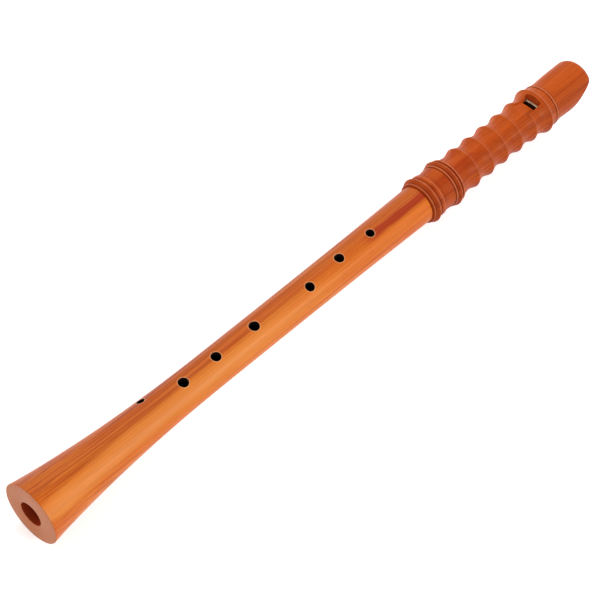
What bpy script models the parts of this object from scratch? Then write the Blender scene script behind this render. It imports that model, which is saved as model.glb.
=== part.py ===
"""Tenor recorder in two joints, lying on its side as on a table.

Four pieces: the body joint with its flared foot, holes and tenon, the cork ring lapped round
the tenon, the head joint with its socket, rippled grip, window and beak, and the cedar block
that fills the beak under the windway. Everything is turned about the bore, which runs along
+X from the foot to the beak. The finger holes look up, along +Z.
"""

import math

import bmesh
import bpy
from mathutils import Euler, Matrix, Vector

MM = 0.001

# Lengths along the bore
BODY_LENGTH = 429.0 * MM
HEAD_LENGTH = 210.2 * MM
TENON_LENGTH = 30.0 * MM
BLOCK_LENGTH = 63.3 * MM

# Clearances
FIT_GAP = 0.3 * MM
CUT_MARGIN = 10.0 * MM

# Facets round the bore: a multiple of four, so that a flat lies under the foot
SIDES = 40
HOLE_SIDES = 16

# Outside of the body joint
FOOT_R = 27.4 * MM
FOOT_EDGE = 0.6 * MM
WAIST_R = 15.5 * MM
WAIST_X = 190.0 * MM
SHOULDER_R = 17.0 * MM
FLARE_POWER = 2.25
UPPER_POWER = 2.6
RIM_RISE = 0.4 * MM
RIM_DECAY = 8.0 * MM

# Bore of the body joint
FOOT_BORE_R = 10.8 * MM
CHOKE_BORE_R = 9.8 * MM
CHOKE_X = 110.0 * MM
TOP_BORE_R = 12.4 * MM

# Socket, tenon and its cork
SOCKET_R = 15.6 * MM
TENON_CHAMFER = 0.7 * MM
CORK_DEPTH = 1.1 * MM
CORK_FROM_END = 7.0 * MM
CORK_LENGTH = 17.0 * MM

# Finger holes: distance from the foot, diameter, and degrees that the hole is turned
# from the top, negative towards the player's right
FINGER_HOLES = {
    "hole_1": (367.3 * MM, 7.4 * MM, 0.0),
    "hole_2": (330.4 * MM, 8.3 * MM, 0.0),
    "hole_3": (292.8 * MM, 8.0 * MM, 13.0),
    "hole_4": (232.8 * MM, 8.8 * MM, 0.0),
    "hole_5": (190.6 * MM, 8.4 * MM, 0.0),
    "hole_6": (155.4 * MM, 8.7 * MM, 0.0),
    "hole_7": (121.2 * MM, 6.8 * MM, -44.0),
    "thumb_hole": (383.0 * MM, 7.6 * MM, 180.0),
}

# Turned rings of the head, each from its own distance above the head's lower end
LIP_R = 18.2 * MM
LIP_BEAD_X = 0.3 * MM
LIP_BEAD_WIDTH = 1.8 * MM
LIP_BEAD_R = 19.0 * MM
LOWER_RING_X = 2.5 * MM
LOWER_RING_WIDTH = 6.4 * MM
LOWER_RING_R = 21.1 * MM
LOWER_BEAD_X = 9.1 * MM
LOWER_BEAD_WIDTH = 6.4 * MM
LOWER_BEAD_R = 19.7 * MM
BARREL_X = 19.2 * MM
BARREL_R = 18.4 * MM
UPPER_LIP_X = 27.0 * MM
UPPER_LIP_WIDTH = 2.6 * MM
UPPER_LIP_R = 19.9 * MM
UPPER_RING_X = 30.0 * MM
UPPER_RING_WIDTH = 5.0 * MM
UPPER_RING_R = 21.55 * MM
UPPER_BEAD_X = 35.1 * MM
UPPER_BEAD_WIDTH = 2.8 * MM
UPPER_BEAD_R = 20.4 * MM
GROOVE_DEPTH = 0.7 * MM

RIDGE_LAND = 0.4 * MM

# Rippled grip: hollows that meet in sharp crests, and a last one that climbs to the flange
RIPPLES = 5
GRIP_X = 38.85 * MM
GRIP_START_R = 19.2 * MM
CREST_R = 18.75 * MM
VALLEY_R = 16.05 * MM
GRIP_SWELL = 0.65 * MM
HOLLOW_POWER = 1.8
HOLLOW_STEPS = 6
LAST_HOLLOW_LENGTH = 18.2 * MM
COVE_LENGTH = 11.6 * MM
COVE_R = 17.5 * MM

# Flange and beak, each from its own distance below the tip
FLANGE_FROM_TIP = 58.9 * MM
FLANGE_R = 21.5 * MM
FLANGE_LAND = 0.8 * MM
BEAK_BEAD_FROM_TIP = 50.4 * MM
BEAK_BEAD_WIDTH = 2.6 * MM
BEAK_BEAD_R = 19.8 * MM
BEAK_NECK_FROM_TIP = 41.5 * MM
BEAK_NECK_R = 18.65 * MM
BEAK_R = 19.35 * MM
BEAK_SWELL_FROM_TIP = 20.0 * MM
TIP_ROUNDING = 7.0 * MM
TIP_DROP = 4.4 * MM

# The head stands turned by this angle, towards the player's left
HEAD_TURN = 6.0

# Bore of the head, windway and window
HEAD_BORE_R = 12.8 * MM
WINDOW_WIDTH = 14.2 * MM
WINDOW_SPLAY = 0.22
CUT_UP = 5.2 * MM
WALL_LEAN = 16.0
LABIUM_ABOVE_BORE = 0.5 * MM
LABIUM_THICKNESS = 0.6 * MM
RAMP_ANGLE = 13.0
RAMP_LENGTH = 21.4 * MM
RAMP_FLARE = 1.4 * MM
RELIEF_LENGTH = 16.0 * MM
FLOOR_ABOVE_BORE = 0.3 * MM
WINDWAY_EXIT = 1.3 * MM
WINDWAY_ENTRY = 2.0 * MM
BLOCK_CHAMFER = 1.1 * MM

# Curved cut under the beak, given at the middle of the beak
BEAK_CUT_LENGTH = 33.0 * MM
BEAK_CUT_TIP = 8.5 * MM
BEAK_CUT_START = 0.5 * MM
BEAK_CUT_HOLLOW = 1.0 * MM
BEAK_CUT_SIDE_RISE = 5.0 * MM
BEAK_CUT_STEPS = 8
BEAK_CUT_COLUMNS = 8

# Looks: linear colour, roughness, metallic
PLUM_WOOD = ((0.58, 0.155, 0.035), 0.38, 0.0)
RED_WOOD = ((0.42, 0.085, 0.022), 0.40, 0.0)
CEDAR = ((0.50, 0.19, 0.075), 0.65, 0.0)
CORK = ((0.46, 0.27, 0.13), 0.85, 0.0)

# Worked out from the values above
TOTAL_LENGTH = BODY_LENGTH + FIT_GAP + HEAD_LENGTH
HEAD_X = BODY_LENGTH + FIT_GAP
BLOCK_X = HEAD_LENGTH - BLOCK_LENGTH
LABIUM_X = BLOCK_X - CUT_UP
CORK_START = TENON_LENGTH - CORK_FROM_END - CORK_LENGTH
FLANGE_X = HEAD_LENGTH - FLANGE_FROM_TIP
BEAK_BEAD_X = HEAD_LENGTH - BEAK_BEAD_FROM_TIP
RIPPLE_PITCH = (FLANGE_X - LAST_HOLLOW_LENGTH - GRIP_X) / RIPPLES
TENON_R = SOCKET_R - FIT_GAP
CORK_SEAT_R = TENON_R - CORK_DEPTH
BLOCK_R = HEAD_BORE_R - FIT_GAP
LABIUM_HEIGHT = HEAD_BORE_R + LABIUM_ABOVE_BORE
WINDWAY_FLOOR = HEAD_BORE_R + FLOOR_ABOVE_BORE
OUTERMOST_R = max(FOOT_R, FLANGE_R)


def clear_scene():
    for old in list(bpy.data.objects):
        bpy.data.objects.remove(old, do_unlink=True)


def wood(name, look):
    colour, roughness, metallic = look
    material = bpy.data.materials.new(name)
    material.use_nodes = True
    shader = material.node_tree.nodes["Principled BSDF"]
    shader.inputs["Base Color"].default_value = (*colour, 1.0)
    shader.inputs["Roughness"].default_value = roughness
    shader.inputs["Metallic"].default_value = metallic
    return material


def add_object(name, shape, parent, x=0.0):
    """Turns a bmesh into an object whose origin is on the bore, x above its parent's."""
    bmesh.ops.recalc_face_normals(shape, faces=shape.faces)
    if shape.calc_volume(signed=True) < 0:
        bmesh.ops.reverse_faces(shape, faces=shape.faces)
    mesh = bpy.data.meshes.new(name)
    shape.to_mesh(mesh)
    shape.free()
    piece = bpy.data.objects.new(name, mesh)
    bpy.context.scene.collection.objects.link(piece)
    piece.parent = parent
    piece.location = (x, 0.0, 0.0)
    return piece


def dress(piece, material):
    piece.data.materials.append(material)
    piece.data.shade_smooth()
    piece.data.set_sharp_from_angle(angle=math.radians(30))


def turned(outline):
    """Spins a closed outline of (x, radius) about the bore. Its flats lie at the radii."""
    shape = bmesh.new()
    to_corner = 1 / math.cos(math.pi / SIDES)
    half_facet = Matrix.Rotation(math.pi / SIDES, 3, "X")
    corners = [shape.verts.new(half_facet @ Vector((x, 0.0, r * to_corner))) for x, r in outline]
    edges = [shape.edges.new((a, b)) for a, b in zip(corners, corners[1:] + corners[:1])]
    bmesh.ops.spin(
        shape,
        geom=corners + edges,
        cent=(0.0, 0.0, 0.0),
        axis=(1.0, 0.0, 0.0),
        angle=math.tau,
        steps=SIDES,
    )
    bmesh.ops.remove_doubles(shape, verts=shape.verts, dist=0.001 * MM)
    return shape


def prism(side_view, half_width, splay=0.0, flare=0.0):
    """A solid with the side view [(x, z), ...] and the half width of its first point.
    The half width grows by splay for each unit up, and by flare for each unit back in x."""
    start_x, start_z = side_view[0]
    shape = bmesh.new()
    rows = []
    for side in (-1, 1):
        widths = [half_width + splay * (z - start_z) + flare * (start_x - x) for x, z in side_view]
        rows.append([shape.verts.new((x, side * w, z)) for (x, z), w in zip(side_view, widths)])
    shape.faces.new(rows[0])
    shape.faces.new(rows[1][::-1])
    for i in range(len(side_view)):
        j = (i + 1) % len(side_view)
        shape.faces.new((rows[0][i], rows[1][i], rows[1][j], rows[0][j]))
    return shape


def bead(x, width, foot_r, top_r, steps):
    """A half round on the outside, from x to x + width, without the point at its start."""
    points = []
    for i in range(1, steps + 1):
        angle = math.pi * i / steps
        points.append((x + width * (1 - math.cos(angle)) / 2, foot_r + (top_r - foot_r) * math.sin(angle)))
    return points


def ridge(x, width, top_r):
    """A ring with two straight flanks that meet in a narrow edge, three grooves high."""
    middle = x + width / 2
    foot_r = top_r - 3 * GROOVE_DEPTH
    return [
        (x, foot_r),
        (middle - RIDGE_LAND / 2, top_r),
        (middle + RIDGE_LAND / 2, top_r),
        (x + width, foot_r),
    ]


def cut(piece, cutter, operation="DIFFERENCE"):
    cutter.hide_render = True
    cutter.display_type = "WIRE"
    modifier = piece.modifiers.new(cutter.name, "BOOLEAN")
    modifier.operation = operation
    modifier.solver = "EXACT"
    modifier.object = cutter


def body_radius(x):
    """Outside of the body joint: a flare from the foot to the waist, then a slow swell."""
    if x < WAIST_X:
        above_rim = max(x - FOOT_EDGE, 0.0)
        flare = (1 - above_rim / (WAIST_X - FOOT_EDGE)) ** FLARE_POWER
        rim = RIM_RISE * math.exp(-above_rim / RIM_DECAY)
        return WAIST_R + (FOOT_R - RIM_RISE - WAIST_R) * flare + rim
    upper = (x - WAIST_X) / (BODY_LENGTH - WAIST_X)
    return WAIST_R + (SHOULDER_R - WAIST_R) * upper**UPPER_POWER


def bore_radius(x):
    """Bore of the body joint: it narrows from the tenon to a choke, and opens to the foot."""
    if x < CHOKE_X:
        return CHOKE_BORE_R + (FOOT_BORE_R - CHOKE_BORE_R) * (1 - x / CHOKE_X)
    tenon_end = BODY_LENGTH + TENON_LENGTH
    return CHOKE_BORE_R + (TOP_BORE_R - CHOKE_BORE_R) * (x - CHOKE_X) / (tenon_end - CHOKE_X)


def body_outline():
    foot_steps = 13
    upper_steps = 7
    bore_steps = 6
    tenon_end = BODY_LENGTH + TENON_LENGTH
    cork_start = BODY_LENGTH + CORK_START
    cork_end = cork_start + CORK_LENGTH
    flare = [WAIST_X * (i / foot_steps) ** 1.4 for i in range(1, foot_steps + 1)]
    upper = [WAIST_X + (BODY_LENGTH - WAIST_X) * i / upper_steps for i in range(1, upper_steps + 1)]
    bore = [tenon_end + (CHOKE_X - tenon_end) * i / bore_steps for i in range(bore_steps + 1)]
    outline = [(0.0, FOOT_R - FOOT_EDGE), (FOOT_EDGE, body_radius(FOOT_EDGE))]
    outline += [(x, body_radius(x)) for x in flare + upper]
    outline += [
        (BODY_LENGTH, TENON_R),
        (cork_start, TENON_R),
        (cork_start, CORK_SEAT_R),
        (cork_end, CORK_SEAT_R),
        (cork_end, TENON_R),
        (tenon_end - TENON_CHAMFER, TENON_R),
        (tenon_end, TENON_R - TENON_CHAMFER),
    ]
    outline += [(x, bore_radius(x)) for x in bore]
    outline.append((0.0, FOOT_BORE_R))
    return outline


def make_body(parent):
    body = add_object("body_joint", turned(body_outline()), parent)
    for name, (x, diameter, turn) in FINGER_HOLES.items():
        inner = bore_radius(x) / 2
        outer = body_radius(x) + CUT_MARGIN
        drill = bmesh.new()
        bmesh.ops.create_cone(
            drill,
            cap_ends=True,
            segments=HOLE_SIDES,
            radius1=diameter / 2,
            radius2=diameter / 2,
            depth=outer - inner,
            matrix=Matrix.Translation((0.0, 0.0, (outer + inner) / 2)),
        )
        drill.transform(Euler((math.radians(turn), 0.0, 0.0)).to_matrix().to_4x4())
        cut(body, add_object(name + "_cutter", drill, parent, x))
    dress(body, wood("plum_wood", PLUM_WOOD))


def make_cork(parent):
    """The ring stands clear of its seat, of the groove's two walls and of the socket."""
    inner = CORK_SEAT_R + FIT_GAP
    outer = SOCKET_R - FIT_GAP
    length = CORK_LENGTH - 2 * FIT_GAP
    outline = [(0.0, inner), (0.0, outer), (length, outer), (length, inner)]
    cork = add_object("tenon_cork", turned(outline), parent, BODY_LENGTH + CORK_START + FIT_GAP)
    dress(cork, wood("cork", CORK))


def lower_rings():
    """From the lip round the socket's mouth to the barrel above the lower ring."""
    outline = [(0.0, LIP_R), (LIP_BEAD_X, LIP_R)]
    outline += bead(LIP_BEAD_X, LIP_BEAD_WIDTH, LIP_R, LIP_BEAD_R, 4)
    outline += ridge(LOWER_RING_X, LOWER_RING_WIDTH, LOWER_RING_R)
    outline.append((LOWER_BEAD_X, LOWER_BEAD_R - GROOVE_DEPTH))
    outline += bead(LOWER_BEAD_X, LOWER_BEAD_WIDTH, LOWER_BEAD_R - GROOVE_DEPTH, LOWER_BEAD_R, 4)
    outline.append((BARREL_X, BARREL_R))
    return outline


def upper_rings():
    """From the top of the barrel to the first hollow of the grip."""
    lip_foot = UPPER_LIP_R - GROOVE_DEPTH
    bead_foot = UPPER_BEAD_R - GROOVE_DEPTH
    outline = [(UPPER_LIP_X, lip_foot)]
    outline += bead(UPPER_LIP_X, UPPER_LIP_WIDTH, lip_foot, UPPER_LIP_R, 4)
    outline += ridge(UPPER_RING_X, UPPER_RING_WIDTH, UPPER_RING_R)
    outline.append((UPPER_BEAD_X, bead_foot))
    outline += bead(UPPER_BEAD_X, UPPER_BEAD_WIDTH, bead_foot, UPPER_BEAD_R, 4)
    return outline


def swell(x):
    """The grip is thinnest at its middle crest and swells a little to both ends."""
    middle = GRIP_X + RIPPLE_PITCH * (RIPPLES + 1) / 2
    reach = RIPPLE_PITCH * (RIPPLES - 1) / 2
    return GRIP_SWELL * ((x - middle) / reach) ** 2


def hollow(start, valley, end):
    """From one crest down into a valley and up to the next, without the crest at its start."""
    half = HOLLOW_STEPS // 2
    points = []
    for i in range(1, HOLLOW_STEPS + 1):
        crest = start if i < half else end
        part = abs(i / half - 1)
        x = valley[0] + (crest[0] - valley[0]) * part
        points.append((x, valley[1] + (crest[1] - valley[1]) * part**HOLLOW_POWER))
    return points


def grip():
    """From the rings to the flange: the ripples, then the wider hollow that climbs."""
    crests = [(GRIP_X, GRIP_START_R)]
    for i in range(1, RIPPLES + 1):
        x = GRIP_X + RIPPLE_PITCH * i
        crests.append((x, CREST_R + swell(x)))
    outline = crests[:1]
    for start, end in zip(crests, crests[1:]):
        x = (start[0] + end[0]) / 2
        outline += hollow(start, (x, VALLEY_R + swell(x)), end)
    outline += hollow(crests[-1], (FLANGE_X - COVE_LENGTH, COVE_R), (FLANGE_X, FLANGE_R))
    return outline


def beak():
    """From the flange's edge over its bead and the plain shaft to the rounded tip."""
    bead_foot = BEAK_BEAD_R - GROOVE_DEPTH / 2
    shoulder_steps = 4
    outline = [(FLANGE_X + FLANGE_LAND, FLANGE_R)]
    start = FLANGE_X + FLANGE_LAND
    for i in range(1, shoulder_steps + 1):
        part = i / shoulder_steps
        drop = math.sin(math.pi / 2 * part)
        outline.append((start + (BEAK_BEAD_X - start) * part, FLANGE_R + (bead_foot - FLANGE_R) * drop))
    outline += bead(BEAK_BEAD_X, BEAK_BEAD_WIDTH, bead_foot, BEAK_BEAD_R, 4)
    outline.append((HEAD_LENGTH - BEAK_NECK_FROM_TIP, BEAK_NECK_R))
    outline.append((HEAD_LENGTH - BEAK_SWELL_FROM_TIP, BEAK_R))
    tip_steps = 4
    for i in range(tip_steps + 1):
        angle = math.pi / 2 * i / tip_steps
        x = HEAD_LENGTH - TIP_ROUNDING * (1 - math.sin(angle))
        outline.append((x, BEAK_R - TIP_DROP * (1 - math.cos(angle))))
    return outline


def head_outline():
    outline = lower_rings() + upper_rings() + grip() + beak()
    outline += [
        (HEAD_LENGTH, HEAD_BORE_R),
        (TENON_LENGTH, HEAD_BORE_R),
        (TENON_LENGTH, SOCKET_R),
        (0.0, SOCKET_R),
    ]
    return outline


def beak_cutter():
    """Everything under the hollow slope of the beak. Its sides stand higher than its middle."""
    start = Vector((HEAD_LENGTH - BEAK_CUT_LENGTH, -BEAK_R - BEAK_CUT_START))
    end = Vector((HEAD_LENGTH, BEAK_CUT_TIP))
    along = end - start
    normal = Vector((-along.y, along.x)).normalized()
    reach = BEAK_R + CUT_MARGIN
    shape = bmesh.new()
    grid = []
    for i in range(BEAK_CUT_STEPS + 2):
        part = i / BEAK_CUT_STEPS
        point = start + along * part + normal * BEAK_CUT_HOLLOW * math.sin(math.pi * part)
        row = []
        for j in range(BEAK_CUT_COLUMNS + 1):
            y = reach * (2 * j / BEAK_CUT_COLUMNS - 1)
            rise = BEAK_CUT_SIDE_RISE * (y / BEAK_R) ** 2
            row.append(shape.verts.new((point.x, y, point.y + rise)))
        grid.append(row)
    faces = []
    for lower, upper in zip(grid, grid[1:]):
        for j in range(BEAK_CUT_COLUMNS):
            faces.append(shape.faces.new((lower[j], lower[j + 1], upper[j + 1], upper[j])))
    top = bmesh.ops.extrude_face_region(shape, geom=faces)
    floor = -BEAK_R - CUT_MARGIN
    for item in top["geom"]:
        if isinstance(item, bmesh.types.BMVert):
            item.co.z = floor
    return shape


def windway_side_view():
    """Straight-sided, from the labium to beyond the beak. Its floor is left to the block."""
    end = HEAD_LENGTH + CUT_MARGIN
    exit_roof = WINDWAY_FLOOR + WINDWAY_EXIT
    slope = (WINDWAY_ENTRY - WINDWAY_EXIT) / BLOCK_LENGTH
    low = HEAD_BORE_R / 2
    return [
        (LABIUM_X, low),
        (LABIUM_X, LABIUM_HEIGHT),
        (BLOCK_X, LABIUM_HEIGHT),
        (BLOCK_X, exit_roof),
        (end, exit_roof + slope * (end - BLOCK_X)),
        (end, low),
    ]


def ramp_side_view():
    """Above the labium: the slope that runs down to its edge, and the open window."""
    top = FLANGE_R + CUT_MARGIN
    rise = RAMP_LENGTH * math.tan(math.radians(RAMP_ANGLE))
    start = LABIUM_X - RAMP_LENGTH
    return [(LABIUM_X, LABIUM_HEIGHT), (LABIUM_X, top), (start, top), (start, LABIUM_HEIGHT + rise)]


def window_side_view():
    """From the labium to the wall, which leans back above the windway's floor."""
    top = FLANGE_R + CUT_MARGIN
    low = HEAD_BORE_R / 2
    lean = (top - WINDWAY_FLOOR) * math.tan(math.radians(WALL_LEAN))
    return [
        (LABIUM_X, LABIUM_HEIGHT),
        (LABIUM_X, top),
        (BLOCK_X + lean, top),
        (BLOCK_X, WINDWAY_FLOOR),
        (BLOCK_X, low),
        (LABIUM_X, low),
    ]


def relief_side_view():
    """Under the labium: the bore is cut up flat, so that the labium ends in a thin edge."""
    low = HEAD_BORE_R / 2
    edge = LABIUM_HEIGHT - LABIUM_THICKNESS
    start = LABIUM_X - RELIEF_LENGTH
    return [(LABIUM_X + CUT_UP / 2, edge), (LABIUM_X, edge), (start, low), (LABIUM_X + CUT_UP / 2, low)]


def make_head(parent, window_axis):
    head = add_object("head_joint", turned(head_outline()), parent, HEAD_X)
    half = WINDOW_WIDTH / 2
    tools = {
        "windway_cutter": prism(windway_side_view(), half),
        "window_cutter": prism(window_side_view(), half, WINDOW_SPLAY),
        "ramp_cutter": prism(ramp_side_view(), half, WINDOW_SPLAY, RAMP_FLARE / RAMP_LENGTH),
        "relief_cutter": prism(relief_side_view(), half - LABIUM_THICKNESS, WINDOW_SPLAY),
        "beak_cutter": beak_cutter(),
    }
    for name, shape in tools.items():
        cut(head, add_object(name, shape, window_axis))
    dress(head, wood("red_wood", RED_WOOD))


def block_land_side_view():
    """The raised floor of the windway, with a chamfer at the window."""
    low = HEAD_BORE_R / 2
    return [
        (0.0, low),
        (0.0, WINDWAY_FLOOR - BLOCK_CHAMFER),
        (BLOCK_CHAMFER, WINDWAY_FLOOR),
        (BLOCK_LENGTH, WINDWAY_FLOOR),
        (BLOCK_LENGTH, low),
    ]


def make_block(parent, window_axis):
    """Turned plug with the windway's floor on top, cut off along the beak's own slope."""
    outline = [(0.0, 0.0), (0.0, BLOCK_R), (BLOCK_LENGTH, BLOCK_R), (BLOCK_LENGTH, 0.0)]
    block = add_object("block", turned(outline), parent, HEAD_X + BLOCK_X)
    land = prism(block_land_side_view(), WINDOW_WIDTH / 2 - FIT_GAP)
    cut(block, add_object("land", land, window_axis, BLOCK_X), "UNION")
    cut(block, add_object("block_end_cutter", beak_cutter(), window_axis))
    dress(block, wood("cedar", CEDAR))


def axis(name, location, parent=None, turn=0.0):
    """An empty on the bore, turned by some degrees towards the player's left."""
    guide = bpy.data.objects.new(name, None)
    bpy.context.scene.collection.objects.link(guide)
    guide.parent = parent
    guide.location = location
    guide.rotation_euler = (-math.radians(turn), 0.0, 0.0)
    return guide


def main():
    clear_scene()
    bore = axis("bore_axis", (-TOTAL_LENGTH / 2, 0.0, OUTERMOST_R))
    window_axis = axis("window_axis", (HEAD_X, 0.0, 0.0), bore, HEAD_TURN)
    make_body(bore)
    make_cork(bore)
    make_head(bore, window_axis)
    make_block(bore, window_axis)


main()
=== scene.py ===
# %% [markdown]
# A tenor recorder, dressed for its picture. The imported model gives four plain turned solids:
# the body joint, the cork ring on its tenon, the head joint and the block. Each one is
# modelled again here at the same place, with finer turning, softened edges and real wood.
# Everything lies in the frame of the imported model: +X runs along the bore from the foot to
# the beak, and the finger holes look up.

# %% Load the frame
import math
from types import SimpleNamespace

import bmesh
import bpy
from mathutils import Matrix, Vector


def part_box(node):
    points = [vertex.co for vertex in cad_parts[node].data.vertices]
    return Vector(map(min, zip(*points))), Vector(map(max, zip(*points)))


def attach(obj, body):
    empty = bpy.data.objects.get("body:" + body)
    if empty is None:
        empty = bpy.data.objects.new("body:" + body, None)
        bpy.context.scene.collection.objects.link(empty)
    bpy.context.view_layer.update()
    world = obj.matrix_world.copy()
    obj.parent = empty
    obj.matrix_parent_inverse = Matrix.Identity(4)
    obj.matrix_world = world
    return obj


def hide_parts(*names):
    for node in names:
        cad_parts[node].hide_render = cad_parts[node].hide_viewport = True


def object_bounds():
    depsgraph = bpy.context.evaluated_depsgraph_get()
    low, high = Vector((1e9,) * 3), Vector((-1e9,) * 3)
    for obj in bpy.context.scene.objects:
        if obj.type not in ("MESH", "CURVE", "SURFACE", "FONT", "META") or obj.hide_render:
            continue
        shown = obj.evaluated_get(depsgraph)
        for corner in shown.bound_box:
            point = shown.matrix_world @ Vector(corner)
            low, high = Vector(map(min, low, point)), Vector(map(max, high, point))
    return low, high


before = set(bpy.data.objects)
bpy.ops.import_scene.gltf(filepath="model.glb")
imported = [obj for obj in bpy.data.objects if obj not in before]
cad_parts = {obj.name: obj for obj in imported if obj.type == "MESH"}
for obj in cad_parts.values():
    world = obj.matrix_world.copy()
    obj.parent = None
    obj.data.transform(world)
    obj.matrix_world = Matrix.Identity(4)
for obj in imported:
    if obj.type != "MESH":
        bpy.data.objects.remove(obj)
cad_low, cad_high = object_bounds()
print("CAD box in mm:", [round(1000 * v, 2) for v in (*cad_low, *cad_high)])

# %% [markdown]
# The frame already knows where each piece begins and ends, so those places are read from it
# and not typed in again. The instrument is turned, so it has one axis, the bore. Its height
# over the table is half the height of the foot, which is the widest part.

# %% Places taken from the frame
MM = 0.001
body_low, body_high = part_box("body_joint")
head_low, head_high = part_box("head_joint")
cork_low, cork_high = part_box("tenon_cork")
block_low, block_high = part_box("block")

FOOT_X = body_low.x
TENON_END_X = body_high.x
HEAD_X = head_low.x
TIP_X = head_high.x
BLOCK_X = block_low.x
BORE_Z = (body_low.z + body_high.z) / 2
HEAD_LENGTH = TIP_X - HEAD_X
print(f"bore {1000 * BORE_Z:.1f} mm up, head {1000 * HEAD_LENGTH:.1f} mm long")

# %% [markdown]
# The camera stands where the photographer stood. The picture was taken from beyond the foot,
# looking down along the instrument, so the foot is near and large and the beak far and small.
# Four measures fix the view: how far below the foot the camera stands, how far from the
# bore, how steeply the line of sight meets the bore, and how far the instrument is rolled.
# The picture is tilted too, which a Track To constraint can't do, so its axes are worked out
# one by one.

# %% Camera
VIEW_BELOW_FOOT = 507.8 * MM
VIEW_DISTANCE = 1474.6 * MM
VIEW_SLOPE = math.radians(61.693)
VIEW_ROLL = math.radians(22.0)
PICTURE_RISE = math.radians(38.717)
PICTURE_SHIFT = (0.0012, -0.0015)
LENS_LENGTH = 126.0
SENSOR_WIDTH = 36.0

along = Vector((1.0, 0.0, 0.0))
towards_camera = Vector((0.0, -math.sin(VIEW_ROLL), math.cos(VIEW_ROLL)))
sight = along * math.cos(VIEW_SLOPE) - towards_camera * math.sin(VIEW_SLOPE)
bore_in_picture = (along - sight * along.dot(sight)).normalized()
across_picture = (-sight).cross(bore_in_picture)
right = bore_in_picture * math.cos(PICTURE_RISE) - across_picture * math.sin(PICTURE_RISE)
up = bore_in_picture * math.sin(PICTURE_RISE) + across_picture * math.cos(PICTURE_RISE)

below_foot = Vector((FOOT_X - VIEW_BELOW_FOOT, 0.0, BORE_Z))
camera = bpy.data.objects.new("camera", bpy.data.cameras.new("camera"))
bpy.context.scene.collection.objects.link(camera)
camera.matrix_world = (
    Matrix.Translation(below_foot + towards_camera * VIEW_DISTANCE)
    @ Matrix((right, up, -sight)).transposed().to_4x4()
)
camera.data.lens = LENS_LENGTH
camera.data.sensor_width = SENSOR_WIDTH
camera.data.clip_start = 10 * MM
camera.data.shift_x, camera.data.shift_y = PICTURE_SHIFT
bpy.context.scene.camera = camera
bpy.context.scene.view_settings.view_transform = "Standard"
print("camera at", [round(v, 3) for v in camera.location])

# %% [markdown]
# A lathe makes every round piece, here as in the workshop. A Screw modifier on a curve could
# do the same, but the pieces are cut afterwards, so a plain closed mesh is wanted at once.
# An outline is drawn point by point by extruding one vertex, closed into a loop, and spun
# about the bore. The last and first copies meet, so the doubles are merged.

# %% The lathe
def only(piece):
    """Selects this piece and nothing else."""
    bpy.ops.object.select_all(action="DESELECT")
    piece.select_set(True)
    bpy.context.view_layer.objects.active = piece


def close_outline(piece):
    """Joins the two loose ends of the line that is being drawn."""
    bpy.ops.mesh.select_all(action="DESELECT")
    shape = bmesh.from_edit_mesh(piece.data)
    for corner in shape.verts:
        corner.select = len(corner.link_edges) == 1
    shape.select_flush_mode()
    bmesh.update_edit_mesh(piece.data)
    bpy.ops.mesh.edge_face_add()


def lathe(name, outline, sides):
    """Turns a closed outline of (x, radius) about the bore."""
    bpy.ops.object.select_all(action="DESELECT")
    x, radius = outline[0]
    bpy.ops.mesh.primitive_plane_add(size=MM, location=(x, 0.0, BORE_Z + radius))
    piece = bpy.context.object
    piece.name = name
    piece.data.name = name
    bpy.ops.object.transform_apply(location=True, rotation=True, scale=True)
    bpy.ops.object.mode_set(mode="EDIT")
    bpy.ops.mesh.merge(type="CENTER")
    for (x0, r0), (x1, r1) in zip(outline, outline[1:]):
        step = {"value": (x1 - x0, 0.0, r1 - r0)}
        bpy.ops.mesh.extrude_region_move(TRANSFORM_OT_translate=step)
    close_outline(piece)
    bpy.ops.mesh.select_all(action="SELECT")
    bpy.ops.mesh.spin(
        steps=sides, angle=math.tau, center=(0.0, 0.0, BORE_Z), axis=(1.0, 0.0, 0.0)
    )
    bpy.ops.mesh.select_all(action="SELECT")
    bpy.ops.mesh.remove_doubles(threshold=0.001 * MM)
    bpy.ops.mesh.normals_make_consistent(inside=False)
    bpy.ops.object.mode_set(mode="OBJECT")
    print(f"{name}: {len(outline)} points turned to {len(piece.data.polygons)} faces")
    return piece


# %% [markdown]
# Drills, files and knives all take wood away. Inset and extrude could sink a hole into a flat
# face, but not into a round one. So each tool is a closed shape that a Boolean takes out of
# the piece. For the flat cuts it is a cube that is planed down: one bisect for each side.

# %% Cutting tools
TOOL_SIZE = 90 * MM


def cut(piece, tool, operation="DIFFERENCE"):
    """Takes the tool's shape out of the piece, or adds it, and removes the tool."""
    only(piece)
    boolean = piece.modifiers.new("cut", "BOOLEAN")
    boolean.operation = operation
    boolean.solver = "EXACT"
    boolean.object = tool
    before = len(piece.data.polygons)
    bpy.ops.object.modifier_apply(modifier=boolean.name)
    print(f"{tool.name}: {before} faces to {len(piece.data.polygons)}")
    bpy.data.objects.remove(tool, do_unlink=True)


def planed_block(name, centre, planes):
    """A cube cut back to each plane, given as a point and a normal that looks outwards."""
    bpy.ops.object.select_all(action="DESELECT")
    bpy.ops.mesh.primitive_cube_add(size=TOOL_SIZE, location=centre)
    tool = bpy.context.object
    tool.name = name
    bpy.ops.object.transform_apply(location=True, rotation=True, scale=True)
    bpy.ops.object.mode_set(mode="EDIT")
    for point, normal in planes:
        bpy.ops.mesh.select_all(action="SELECT")
        bpy.ops.mesh.bisect(plane_co=point, plane_no=normal, use_fill=True, clear_outer=True)
    bpy.ops.mesh.select_all(action="SELECT")
    bpy.ops.mesh.normals_make_consistent(inside=False)
    bpy.ops.object.mode_set(mode="OBJECT")
    return tool


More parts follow.
